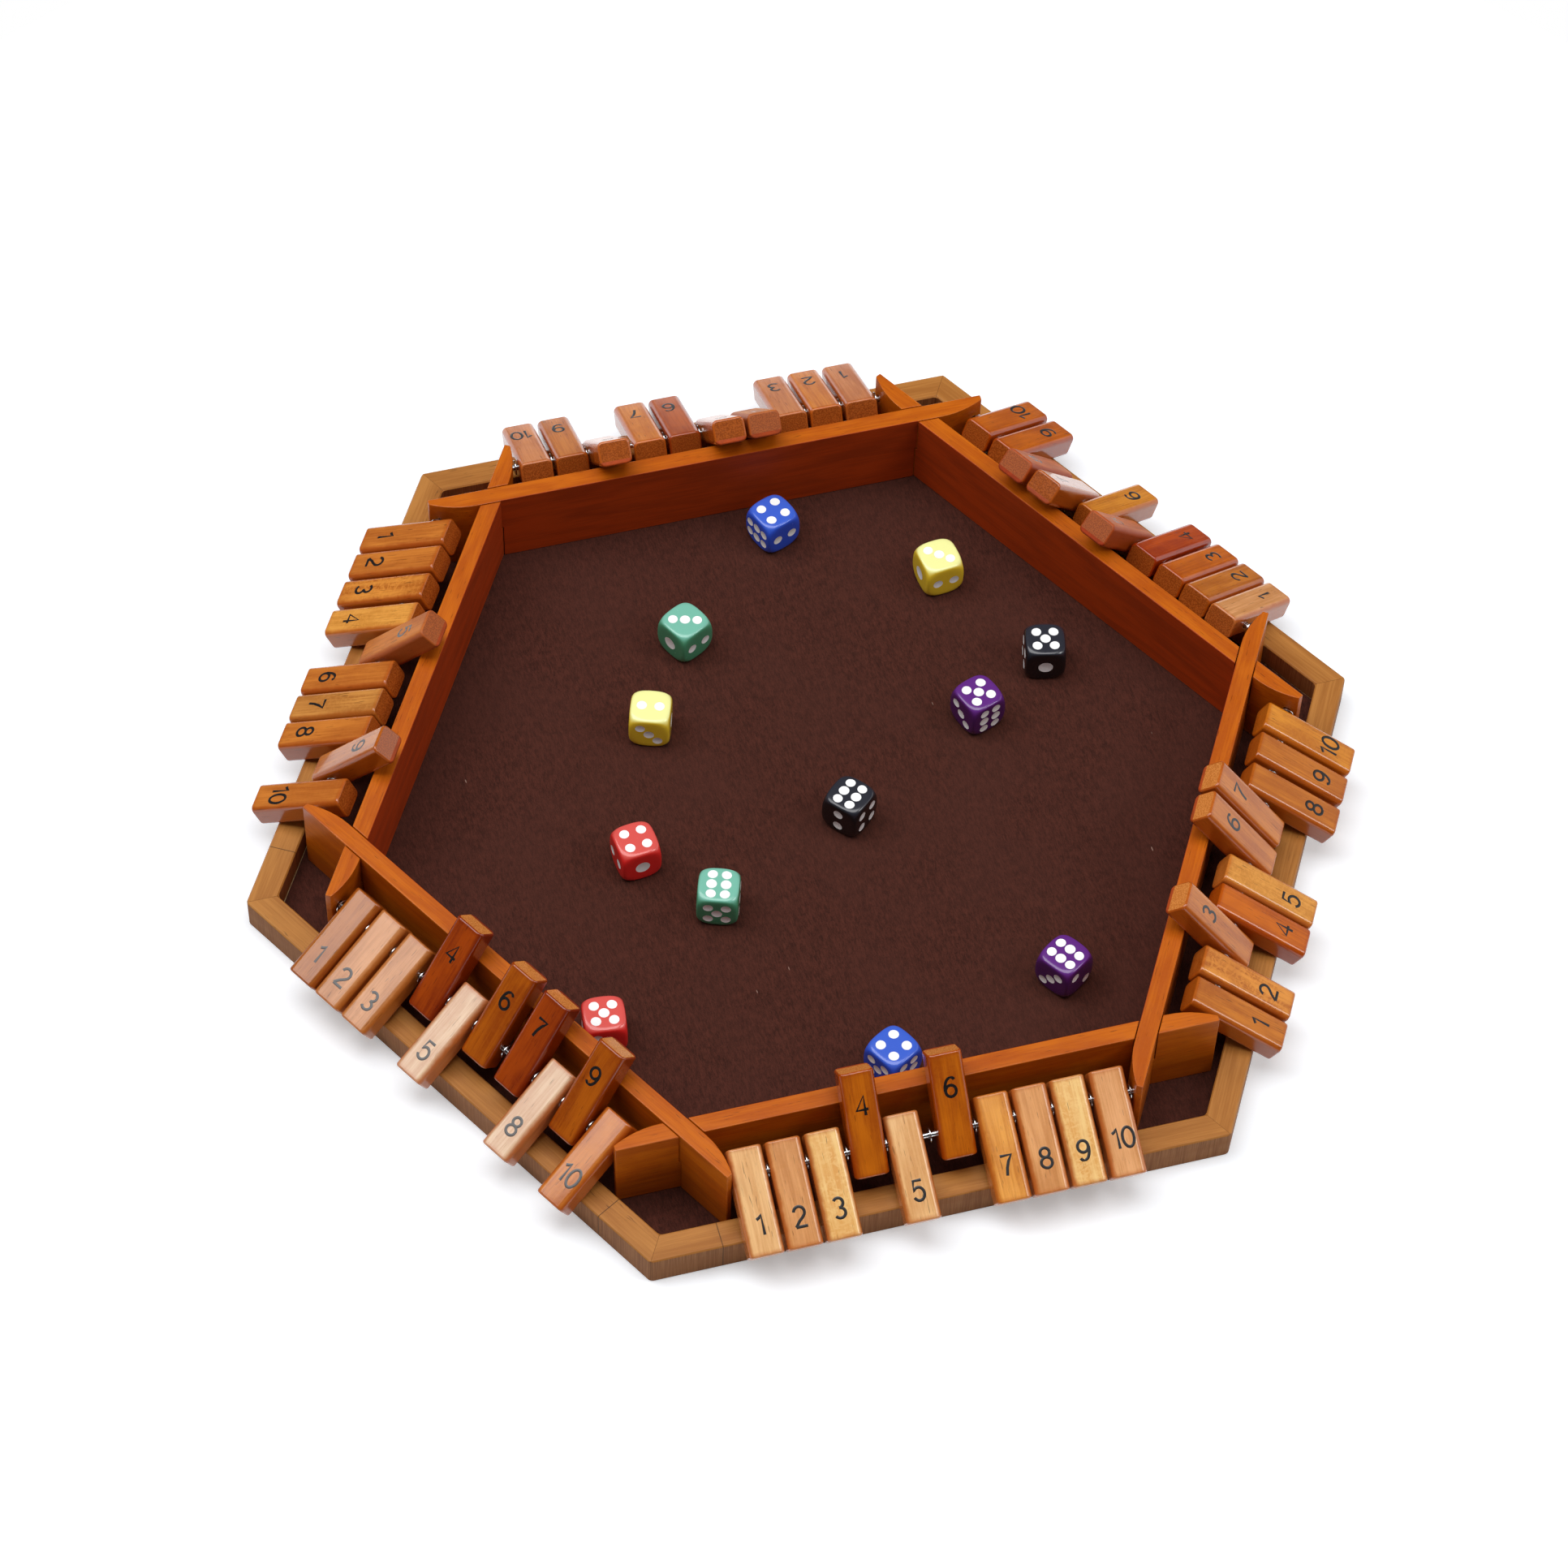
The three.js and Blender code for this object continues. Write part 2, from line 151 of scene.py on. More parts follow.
# Each side: its turns of 60 degrees, which tiles stand up, the shares of the row's play in its gaps from the
# end beside tile 1, and the wood of each tile
SIDES = {
    "front": (0, [4, 6], [0, 3, 4, 4, 0, 19, 4, 3, 3, 5, 7],
              "tan pink flecked copper tan copper straw pink flecked wheat"),
    "front_right": (1, [3, 6, 7], [12, 3, 0, 3, 1, 0, 3, 6, 6, 4, 12],
                    "honey curly ochre rust maple ochre ochre honey honey gold"),
    "back_right": (2, [5, 7, 8], [16, 0, 0, 3, 0, 1, 1, 6, 11, 3, 8],
                   "wheat honey rust sienna rust gold orange rust rust rust"),
    "back": (3, [4, 5, 8], [9, 4, 3, 3, 3, 2, 3, 14, 0, 4, 5],
             "coral apricot coral orange apricot clay apricot apricot orange coral"),
    "back_left": (4, [5, 9], [10, 1, 3, 6, 3, 2, 1, 0, 4, 6, 13],
                  "orange orange curly maple orange orange olive orange honey orange"),
    "front_left": (5, [4, 6, 7, 9], [10, 1, 4, 8, 0, 1, 16, 2, 0, 2, 5],
                   "fawn rose rose russet cream amber russet cream amber orange"),
}

# How much further from the end some numbers are printed, in millimetres
LYING_NUMBERS_FURTHER = {
    "front": {7: 1.8, 8: 1.5, 9: 1.2, 10: 2.5},
    "front_left": {1: 0.6, 8: 0.7, 10: 0.8},
}

# How pale (to 1) or deep (to -1) the tiles' far and pivot ends are
END_MARKS = {"front": (1, -1), "front_right": (0.9, -0.5), "back_right": (-0.9, -1),
             "back": (-0.9, -1), "back_left": (-0.9, -1), "front_left": (1, -1)}

# Tiles whose varnish is dull, and the side whose lowered tiles have grey numbers, a painted glare for the
# reflection on the varnish over the ink
DULL_TILES = {"back_right": (5, 8), "back": (4,), "back_left": (5,)}
GLARE_GREY_NUMBERS_SIDE = "front_left"

# Rails with a glued seam near a corner, with -1 for the corner beside tile 1 and 1 for the other
SEAM_CORNERS = {"front": -1, "front_left": 1, "back_left": 1}

# The place of the ink or the pip paint among a piece's materials, after its wood or plastic
MARK_SLOT = 1

# Each die: its turn in degrees, and the value and lay of its top, right and left faces
DICE = {
    "die_blue_back": (-68, ("4", ""), ("2", "across"), ("6", "across")),
    "die_yellow_back": (-83, ("3", "rising"), ("2", "across"), ("1", "")),
    "die_black_right": (-102.5, ("5", ""), ("1", ""), ("4", "")),
    "die_purple_right": (-70, ("5", ""), ("6", "up"), ("3", "falling")),
    "die_green_back": (-61.5, ("3", "rising"), ("2", "across"), ("1", "")),
    "die_yellow_left": (-19.5, ("2", "across"), ("1", ""), ("3", "falling")),
    "die_black_middle": (-49, ("6", "up"), ("4", ""), ("2", "up")),
    "die_red_left": (-84, ("4", ""), ("1", ""), ("2", "across")),
    "die_green_front": (-19.5, ("6", "up"), ("3", "rising"), ("5", "")),
    "die_red_front": (-96.5, ("5", ""), ("3", "falling"), ("1", "")),
    "die_purple_front": (-56.5, ("6", "across"), ("2", "falling"), ("3", "rising")),
    "die_blue_front": (-60.5, ("4", ""), ("6", "up"), ("5", "")),
}


class Value:
    """A socket that sends a number, for shader maths written as expressions."""

    def __init__(self, paint, socket):
        self.paint = paint
        self.socket = socket

    def combine(self, operation, first, second):
        return self.paint.node("ShaderNodeMath", {"operation": operation}, {0: first, 1: second})["Value"]

    def __add__(self, other):
        return self.combine("ADD", self, other)

    def __radd__(self, other):
        return self.combine("ADD", other, self)

    def __sub__(self, other):
        return self.combine("SUBTRACT", self, other)

    def __rsub__(self, other):
        return self.combine("SUBTRACT", other, self)

    def __mul__(self, other):
        return self.combine("MULTIPLY", self, other)

    def __rmul__(self, other):
        return self.combine("MULTIPLY", other, self)


class Paint:
    """The nodes of a material or of the world."""

    def __init__(self, name, kind=None):
        self.owner = (bpy.data.materials if kind is None else kind).new(name)
        self.owner.use_nodes = True
        self.tree = self.owner.node_tree
        self.tree.nodes.clear()

    def node(self, kind, settings=None, inputs=None):
        made = self.tree.nodes.new(kind)
        for name, setting in (settings or {}).items():
            setattr(made, name, setting)
        for name, given in (inputs or {}).items():
            if isinstance(given, Value):
                self.tree.links.new(given.socket, made.inputs[name])
            else:
                made.inputs[name].default_value = given
        return {output.name: Value(self, output) for output in made.outputs if output.enabled}

    def attribute(self, name, output="Fac"):
        return self.node("ShaderNodeAttribute", {"attribute_name": name})[output]

    def grain(self):
        """The place in the wood: across, through and along the grain, in metres."""
        return self.attribute("grain", "Vector")

    def place(self):
        return self.node("ShaderNodeTexCoord")["Object"]

    def scaled(self, vector, factors):
        return self.node("ShaderNodeVectorMath", {"operation": "MULTIPLY"}, {0: vector, 1: factors})["Vector"]

    def split(self, vector):
        return self.node("ShaderNodeSeparateXYZ", None, {"Vector": vector})

    def facing_up(self):
        """1 on a face that looks up, 0 on an upright one and -1 on one that looks down."""
        return self.split(self.node("ShaderNodeNewGeometry")["Normal"])["Z"]

    def noise(self, vector, scale, detail=2.0, roughness=0.5, distortion=0.0):
        inputs = {"Vector": vector, "Scale": scale, "Detail": detail, "Roughness": roughness,
                  "Distortion": distortion}
        return self.node("ShaderNodeTexNoise", None, inputs)["Fac"]

    def ramp(self, value, low, high):
        """0 below low, 1 above high and smooth between."""
        inputs = {"Value": value, "From Min": low, "From Max": high}
        return self.node("ShaderNodeMapRange", {"interpolation_type": "SMOOTHSTEP"}, inputs)["Result"]

    def mix(self, factor, first, second):
        """From the first colour at 0 to the second at 1."""
        inputs = {0: factor, 6: first, 7: second}
        return self.node("ShaderNodeMix", {"data_type": "RGBA", "blend_type": "MIX"}, inputs)["Result"]

    def size_of(self, value):
        """A value without its sign."""
        return self.node("ShaderNodeMath", {"operation": "ABSOLUTE"}, {0: value})["Value"]

    def larger(self, first, second):
        return self.node("ShaderNodeMath", {"operation": "MAXIMUM"}, {0: first, 1: second})["Value"]

    def bump(self, height, distance, strength=1.0):
        inputs = {"Height": height, "Distance": distance, "Strength": strength}
        return self.node("ShaderNodeBump", None, inputs)["Normal"]

    def finish(self, inputs):
        shader = self.node("ShaderNodeBsdfPrincipled", None, inputs)["BSDF"]
        self.node("ShaderNodeOutputMaterial", None, {"Surface": shader})
        return self.owner


def colour(red, green, blue):
    """A colour as it looks on a screen, from 0 to 255, as the linear values that nodes take."""
    def linear(level):
        share = level / 255
        return share / 12.92 if share <= 0.04045 else ((share + 0.055) / 1.055) ** 2.4
    return (linear(red), linear(green), linear(blue), 1.0)


# Woods: a light and a dark tone, and how strongly the grain is figured across its length
TILE_WOODS = {
    "cream": (colour(234, 199, 162), colour(209, 159, 122), 0.15),
    "rose": (colour(215, 147, 92), colour(184, 116, 62), 0.15),
    "coral": (colour(223, 143, 86), colour(191, 111, 62), 0.15),
    "tan": (colour(250, 198, 136), colour(221, 158, 95), 0.15),
    "wheat": (colour(241, 175, 118), colour(206, 138, 78), 0.15),
    "flecked": (colour(255, 213, 140), colour(233, 168, 90), 0.8),
    "maple": (colour(243, 170, 78), colour(207, 134, 51), 0.6),
    "pink": (colour(239, 171, 109), colour(206, 136, 76), 0.15),
    "fawn": (colour(184, 109, 42), colour(156, 84, 27), 0.15),
    "straw": (colour(244, 168, 76), colour(207, 127, 46), 0.3),
    "apricot": (colour(229, 140, 54), colour(196, 106, 36), 0.3),
    "gold": (colour(230, 148, 43), colour(193, 111, 26), 0.4),
    "curly": (colour(234, 152, 62), colour(180, 96, 29), 1.0),
    "olive": (colour(220, 150, 72), colour(180, 112, 48), 0.5),
    "orange": (colour(216, 130, 50), colour(180, 96, 33), 0.25),
    "ochre": (colour(220, 131, 46), colour(184, 97, 31), 0.25),
    "clay": (colour(196, 97, 36), colour(159, 67, 22), 0.25),
    "honey": (colour(210, 124, 36), colour(177, 94, 24), 0.25),
    "rust": (colour(212, 108, 9), colour(173, 77, 5), 0.3),
    "copper": (colour(208, 110, 9), colour(169, 77, 4), 0.3),
    "amber": (colour(185, 93, 8), colour(151, 65, 3), 0.3),
    "sienna": (colour(200, 80, 4), colour(158, 52, 3), 0.3),
    "russet": (colour(170, 68, 4), colour(134, 45, 3), 0.3),
}
WALL_WOOD = (colour(204, 105, 13), colour(179, 82, 8), 0.15)
# The deep orange near the tiles' edges and ends: partly stain gathered there, partly painted shade on the
# rounded edges
AMBER_STAIN_AND_SHADE = colour(188, 94, 28)

# Finishes: how rough the surface is, and how much varnish there is on it
TILE_FINISH = (0.17, 0.5)
WALL_FINISH = (0.3, 0.15)

# Plastics: a deep tone for the sides, which is painted shade, and a pale one for the top, which is a painted
# highlight
DIE_SHADED_AND_LIT_TONES = {
    "blue": (colour(45, 90, 225), colour(64, 102, 216)),
    "yellow": (colour(255, 216, 55), colour(255, 255, 170)),
    "black": (colour(15, 19, 23), colour(46, 47, 56)),
    "purple": (colour(80, 28, 100), colour(102, 44, 135)),
    "green": (colour(78, 158, 119), colour(126, 197, 175)),
    "red": (colour(246, 44, 42), colour(228, 90, 83)),
}


def tile_stain(paint):
    """How much darker and more orange a tile is near its edges and ends, from the local attribute that tiles
    carry: partly stain gathered there, partly painted shade on the rounded edges.
    """
    along = paint.split(paint.attribute("local", "Vector"))
    sideways = paint.size_of(along["X"])
    endways = paint.size_of(along["Z"])
    uneven = paint.noise(paint.grain(), 330, 2, 0.5) * 0.16
    near_side = paint.ramp(sideways + uneven, 0.76, 1.02)
    near_end = paint.ramp(endways + uneven * 0.4, 0.92, 1.03)
    return 1 - (1 - near_side) * (1 - near_end * 0.75)


def inner_faces(paint):
    """Where painted shade goes on the wall faces round the tray: one there, from how far out a point is, and
    none beyond them. It also catches about a millimetre of the innermost edge of the standing tiles, which
    lean in over the walls.
    """
    place = paint.split(paint.place())
    slanted = place["X"] * math.sin(SIDE_TURN)
    leaning = place["Y"] * math.cos(SIDE_TURN)
    outs = [paint.size_of(out) for out in (place["Y"], slanted + leaning, slanted - leaning)]
    farthest = paint.larger(paint.larger(outs[0], outs[1]), outs[2])
    return 1 - paint.ramp(farthest, WALL_INNER + INNER_FACE_WITHIN, WALL_INNER + WALL_ARRIS)


def deeper(tone, red, green, blue):
    """A tone with each channel taken down."""
    return (tone[0] * red, tone[1] * green, tone[2] * blue, 1.0)


def varnished_wood(name, wood, finish):
    """Stained wood under varnish, with its grain along the third axis of the grain attribute."""
    light, dark, figure = wood
    roughness, varnish = finish
    paint = Paint(name)
    grain = paint.grain()
    end = paint.attribute("end")
    dull = paint.attribute("dull")
    stain_and_shade = tile_stain(paint)
    inner_shade = inner_faces(paint)

    broad = paint.noise(paint.scaled(grain, (1, 1, 0.16)), 190, 2, 0.5, 0.6)
    streaks = paint.noise(paint.scaled(grain, (1, 1, 0.035)), 1500, 3, 0.6)
    fibres = paint.noise(paint.scaled(grain, (1, 1, 0.05)), 4200, 2, 0.5)
    curl = paint.noise(paint.scaled(grain, (0.8, 0.8, 1.1)), 360, 2, 0.55, 2.0)
    pores = paint.ramp(paint.noise(paint.scaled(grain, (1, 1, 0.07)), 2600, 1, 0.4), 0.69, 0.76)
    blotch = paint.noise(grain, 75, 1, 0.5)

    tone = paint.ramp(broad * 0.6 + streaks * 0.4, 0.36, 0.64)
    base = paint.mix(tone, dark, light)
    base = paint.mix(paint.ramp(curl, 0.42, 0.62) * (0.6 * figure), base, light)
    base = paint.mix(paint.ramp(fibres, 0.5, 0.75) * 0.22, base, dark)
    base = paint.mix(paint.ramp(blotch, 0.5, 0.7) * 0.35, base, dark)
    # Darker, more orange near the tiles' edges and ends: partly stain, partly painted shade on the rounded
    # edges
    stain_and_shade_tone = tuple(min(pair) for pair in zip(deeper(dark, 0.92, 0.66, 0.36), AMBER_STAIN_AND_SHADE))
    base = paint.mix(stain_and_shade * 0.88, base, stain_and_shade_tone)
    pore_colour = tuple(channel * 0.3 for channel in dark[:3]) + (1.0,)
    base = paint.mix(pores * 0.65, base, pore_colour)

    speckle = paint.ramp(paint.noise(grain, 2100, 2, 0.6), 0.38, 0.64)
    pale_end = paint.mix(speckle, colour(206, 120, 50), colour(240, 156, 78))
    deep_end = paint.mix(speckle, colour(138, 64, 20), colour(182, 92, 34))
    base = paint.mix(paint.ramp(end, 0.2, 1) * 0.9, base, pale_end)
    base = paint.mix(paint.ramp(end, -0.2, -1) * 0.9, base, deep_end)
    # Painted shade: the wall faces round the tray take a deeper, redder tone of the wood, standing in for the
    # shade inside the tray
    shaded = paint.mix(tone, deeper(dark, 0.72, 0.36, 0.2), deeper(dark, 1.02, 0.5, 0.28))
    base = paint.mix(inner_shade * 0.95, base, shaded)

    relief = streaks * 0.4 + fibres * 0.3 - pores * 0.8
    ripple = paint.noise(grain, 260, 2, 0.5)
    peel = paint.noise(grain, 950, 2, 0.5)
    normal = paint.bump(relief * 0.15 + ripple * 0.7 + peel * 0.4, 0.0001, 0.6)
    return paint.finish({
        "Base Color": base,
        "Roughness": roughness + 0.12 * ripple + 0.3 * dull + 0.3 * inner_shade,
        "Specular IOR Level": 0.2 + 0.5 * varnish,
        "Coat Weight": varnish * (1 - dull) * (1 - inner_shade),
        "Coat Roughness": 0.07,
        "Normal": normal,
    })


def tile_woods():
    return {tone: varnished_wood(f"tile_wood_{tone}", wood, TILE_FINISH) for tone, wood in TILE_WOODS.items()}


def ink_material(name, ink):
    paint = Paint(name)
    wear = paint.noise(paint.place(), 2600, 2, 0.6)
    faded = paint.mix(paint.ramp(wear, 0.5, 0.8) * 0.25, ink, colour(86, 66, 54))
    return paint.finish({
        "Base Color": faded,
        "Roughness": 0.32 + wear * 0.1,
        "Specular IOR Level": 0.45,
        "Coat Weight": 0.5,
        "Coat Roughness": 0.1,
    })


def rim_wood():
    """Olive-gold top with small flecks; the sawn upright faces show fine upright marks and are darker than
    the top, partly their own tone and partly painted shade.
    """
    paint = Paint("rim_wood")
    grain = paint.grain()
    upright = 1 - paint.ramp(paint.facing_up(), 0.3, 0.8)
    broad = paint.noise(paint.scaled(grain, (1, 1, 0.1)), 120, 3, 0.5, 0.5)
    streaks = paint.noise(paint.scaled(grain, (1, 1, 0.04)), 1300, 3, 0.6)
    flecks = paint.ramp(paint.noise(paint.scaled(grain, (1, 1, 0.12)), 1500, 2, 0.5), 0.62, 0.72)
    patches = paint.ramp(paint.noise(paint.scaled(grain, (1, 1, 0.3)), 42, 1, 0.5), 0.52, 0.66)
    tone = paint.ramp(broad * 0.6 + streaks * 0.4, 0.36, 0.64)
    top = paint.mix(tone, colour(164, 103, 42), colour(190, 128, 60))
    top = paint.mix(flecks * patches * 0.8, top, colour(84, 54, 24))

    saw = paint.noise(paint.scaled(grain, (0.02, 0.02, 1)), 2400, 2, 0.7)
    # The sawn upright faces: fine saw marks, and a darker tone than the top that is partly their own and
    # partly painted shade
    side = paint.mix(paint.ramp(saw, 0.35, 0.65), colour(134, 84, 44), colour(160, 106, 62))
    side = paint.mix(paint.ramp(broad, 0.4, 0.65) * 0.4, side, colour(136, 82, 36))
    base = paint.mix(upright, top, side)

    from_seam = paint.size_of(paint.attribute("seam"))
    line = 1 - paint.ramp(from_seam, 0.35 * SEAM_WIDTH, SEAM_WIDTH)
    base = paint.mix(line * 0.75, base, colour(58, 38, 18))
    normal = paint.bump(saw * upright * 0.5 + streaks * 0.4 - line * 1.5, 0.00006, 0.7)
    return paint.finish({
        "Base Color": base,
        "Roughness": 0.42 + upright * 0.2 + 0.1 * streaks,
        "Specular IOR Level": 0.25,
        "Coat Weight": (1 - upright) * 0.3,
        "Coat Roughness": 0.25,
        "Normal": normal,
    })


def board_wood():
    paint = Paint("board_wood")
    place = paint.place()
    broad = paint.noise(paint.scaled(place, (0.1, 1, 1)), 90, 3, 0.5, 0.4)
    streaks = paint.noise(paint.scaled(place, (0.03, 1, 1)), 1100, 3, 0.6)
    tone = paint.ramp(broad * 0.5 + streaks * 0.5, 0.36, 0.64)
    base = paint.mix(tone, colour(168, 128, 84), colour(206, 170, 122))
    return paint.finish({"Base Color": base, "Roughness": 0.72, "Normal": paint.bump(streaks, 0.00008, 0.6)})


def felt_cloth():
    """Short matted fibres with soft mottling and a few pale specks of lint."""
    paint = Paint("felt_cloth")
    place = paint.place()
    slanted = paint.node("ShaderNodeMapping", None, {"Vector": place, "Rotation": (0, 0, math.radians(38)),
                                                     "Scale": (1, 0.25, 1)})["Vector"]
    mottle = paint.noise(place, 300, 3, 0.6)
    fibres = paint.noise(slanted, 1500, 3, 0.7, 0.8)
    fuzz = paint.noise(place, 5200, 2, 0.6)
    clouds = paint.noise(place, 24, 2, 0.5)
    tone = paint.ramp(fibres * 0.5 + mottle * 0.2 + fuzz * 0.3, 0.36, 0.64)
    base = paint.mix(tone, colour(52, 25, 18), colour(84, 43, 33))
    base = paint.mix(paint.ramp(clouds, 0.35, 0.7) * 0.35, base, colour(74, 40, 32))
    lint = paint.ramp(paint.noise(slanted, 620, 1, 0.3), 0.83, 0.86)
    base = paint.mix(lint * 0.6, base, colour(170, 140, 125))
    normal = paint.bump(fibres * 0.6 + fuzz * 0.5, 0.00025, 0.8)
    return paint.finish({
        "Base Color": base,
        "Roughness": 0.95,
        "Specular IOR Level": 0.15,
        "Sheen Weight": 0.04,
        "Sheen Roughness": 0.5,
        "Normal": normal,
    })


def bright_steel():
    paint = Paint("bright_steel")
    place = paint.place()
    wear = paint.noise(place, 1800, 2, 0.6)
    base = paint.mix(paint.ramp(wear, 0.4, 0.7), colour(224, 226, 228), colour(196, 198, 200))
    return paint.finish({"Base Color": base, "Metallic": 1.0, "Roughness": 0.16 + wear * 0.12})


def die_plastic(name, deep, pale):
    """Polished plastic, painted paler on faces that look up and deeper on its sides: a painted highlight and
    painted shade for the light from above.
    """
    paint = Paint(name)
    swirl = paint.noise(paint.place(), 150, 2, 0.5, 0.4)
    # Painted highlight on faces that look up, painted shade on the sides
    base = paint.mix(paint.ramp(paint.facing_up() + 0.2 * swirl, 0.35, 1.0), deep, pale)
    haze = paint.noise(paint.place(), 900, 2, 0.5)
    return paint.finish({
        "Base Color": base,
        "Roughness": 0.2 + haze * 0.1,
        "Specular IOR Level": 0.5,
        "Coat Weight": 0.5,
        "Coat Roughness": 0.06,
    })


def pip_paint():
    paint = Paint("pip_paint")
    wear = paint.noise(paint.place(), 1400, 2, 0.5)
    base = paint.mix(paint.ramp(wear, 0.4, 0.8) * 0.3, colour(255, 255, 255), colour(248, 248, 248))
    return paint.finish({"Base Color": base, "Roughness": 0.35 + wear * 0.1})


# Pieces
def mark_local(mesh, low, high):
    """Keeps each point's place as shares from -1 to 1 of a box."""
    middle = [(a + b) / 2 for a, b in zip(low, high)]
    half = [(b - a) / 2 for a, b in zip(low, high)]
    shares = [(along - m) / h for v in mesh.vertices for along, m, h in zip(v.co, middle, half)]
    mesh.attributes.new("local", "FLOAT_VECTOR", "POINT").data.foreach_set("vector", shares)


def mark_grain(mesh, cut, number, end_at=None, end_marks=None):
    """Keeps each point's place in the wood as the grain, and marks the ends that are cut across it."""
    start, step = cut
    offset = Vector([along + number * further for along, further in zip(start, step)])
    grain = mesh.attributes.new("grain", "FLOAT_VECTOR", "POINT")
    grain.data.foreach_set("vector", [axis for v in mesh.vertices for axis in v.co + offset])
    end = mesh.attributes.new("end", "FLOAT", "POINT")
    if end_at:
        low, high = end_at
        far, near = end_marks
        marks = [far * (v.co.z > high - CUT_END_WITHIN) + near * (v.co.z < low + CUT_END_WITHIN)
                 for v in mesh.vertices]
        end.data.foreach_set("value", marks)


def mark_lengthways_grain(mesh, cut, number):
    """Marks the grain of a board that lies along X, turned for this so that it lies along the third axis."""
    to_grain = Matrix.Rotation(math.pi / 2, 4, "Y")
    mesh.transform(to_grain)
    mark_grain(mesh, cut, number)
    mesh.transform(to_grain.inverted())


def smooth_edges(mesh, degrees=32):
    mesh.polygons.foreach_set("use_smooth", [True] * len(mesh.polygons))
    mesh.set_sharp_from_angle(angle=math.radians(degrees))


def keep_flats_flat(piece):
    """Turns the shading of round edges to their broad faces, so that those look flat."""
    weighted = piece.modifiers.new("flats", "WEIGHTED_NORMAL")
    weighted.keep_sharp = True


def place_piece(name, mesh, matrix, materials, body, slot, nodes=()):
    """A finished piece with its place in its mesh, riding on a body of the frame."""
    mesh.transform(matrix)
    for material in materials:
        mesh.materials.append(material)
    piece = bpy.data.objects.new(name, mesh)
    bpy.context.scene.collection.objects.link(piece)
    keep_flats_flat(piece)
    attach(piece, body)
    if nodes:
        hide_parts(*nodes)
    return piece


def mesh_of(name, bm):
    mesh = bpy.data.meshes.new(name)
    bm.to_mesh(mesh)
    bm.free()
    return mesh


def cut_away(mesh, cutter):
    """The mesh less the cutter. The cut faces keep the cutter's material number."""
    whole = bpy.data.objects.new("whole", mesh)
    knife = bpy.data.objects.new("knife", cutter)
    for thing in (whole, knife):
        bpy.context.scene.collection.objects.link(thing)
    boolean = whole.modifiers.new("cut", "BOOLEAN")
    boolean.operation = "DIFFERENCE"
    boolean.solver = "EXACT"
    boolean.object = knife
    graph = bpy.context.evaluated_depsgraph_get()
    cut = bpy.data.meshes.new_from_object(whole.evaluated_get(graph))
    for thing in (whole, knife):
        bpy.data.objects.remove(thing)
    return cut


def side_matrix(turns):
    return Matrix.Rotation(turns * SIDE_TURN, 4, "Z")


def tile_mesh():
    """One tile standing on its rod's axis, with rounded long edges, softened ends and its bore."""
    bm = bmesh.new()
    bmesh.ops.create_cube(bm, size=1)
    bmesh.ops.scale(bm, verts=bm.verts, vec=(TILE_WIDTH, TILE_THICKNESS, TILE_LENGTH))
    bmesh.ops.translate(bm, verts=bm.verts, vec=(0, 0, TILE_LENGTH / 2 - TILE_PIVOT_END))
    long_edges = [e for e in bm.edges if abs(e.verts[0].co.z - e.verts[1].co.z) > TILE_LENGTH / 2]
    bmesh.ops.bevel(bm, geom=long_edges, offset=TILE_EDGE_RADIUS, offset_type="OFFSET", segments=5,
                    profile=0.5, affect="EDGES", material=-1)
    end_edges = [e for e in bm.edges if abs(e.verts[0].co.z - e.verts[1].co.z) < LEVEL_WITHIN]
    bmesh.ops.bevel(bm, geom=end_edges, offset=TILE_END_RADIUS, offset_type="OFFSET", segments=3,
                    profile=0.5, affect="EDGES", material=-1)
    tile = mesh_of("tile", bm)

    bm = bmesh.new()
    bmesh.ops.create_cone(bm, cap_ends=True, segments=20, radius1=BORE_RADIUS, radius2=BORE_RADIUS,
                          depth=TILE_WIDTH * BORE_LENGTH_SHARE)
    bmesh.ops.rotate(bm, verts=bm.verts, matrix=Matrix.Rotation(math.pi / 2, 3, "Y"))
    return cut_away(tile, mesh_of("bore", bm))


def arc(middle, radii, start, end):
    """Points of an ellipse's arc, in shares of the digit's height, from start to end in degrees."""
    count = max(3, round(abs(end - start) / 12))
    turns = [math.radians(start + (end - start) * step / count) for step in range(count + 1)]
    return [(middle[0] + radii[0] * math.cos(turn), middle[1] + radii[1] * math.sin(turn)) for turn in turns]


def digit_strokes():
    """The pen's strokes for each digit, in shares of the digit's height, about the digit's middle."""
    six = [arc((0.02, -0.205), (0.27, 0.295), 145, 505),
           arc((0.08, -0.15), (0.345, 0.65), 183, 118) + [(0.02, 0.47), (0.14, 0.492)]
           + arc((0.06, 0.3), (0.2, 0.19), 70, 15)]
    return {
        "0": [arc((0, 0), (0.29, 0.5), 0, 360)],
        "1": [[(-0.18, 0.29), (-0.02, 0.38), (0.08, 0.5), (0.08, -0.5)]],
        "2": [arc((-0.01, 0.22), (0.27, 0.28), 172, -30) + [(0.13, -0.04), (-0.08, -0.22), (-0.3, -0.5)],
              [(-0.3, -0.5), (0.29, -0.5)]],
        "3": [arc((-0.02, 0.255), (0.24, 0.245), 150, -90),
              arc((-0.02, -0.245), (0.27, 0.255), 90, -150)],
        "4": [[(0.14, -0.5), (0.14, 0.5), (-0.3, -0.2), (0.31, -0.2)]],
        "5": [[(0.24, 0.5), (-0.18, 0.5), (-0.25, 0.0)] + arc((-0.01, -0.17), (0.28, 0.33), 140, -155)],
        "6": six,
        "7": [[(-0.28, 0.5), (0.29, 0.5), (0.1, 0.2), (-0.03, -0.12), (-0.1, -0.5)]],
        "8": [arc((0, 0.265), (0.235, 0.235), 0, 360), arc((0, -0.235), (0.28, 0.265), 0, 360)],
        "9": [[(-x, -y) for x, y in stroke] for stroke in six],
    }


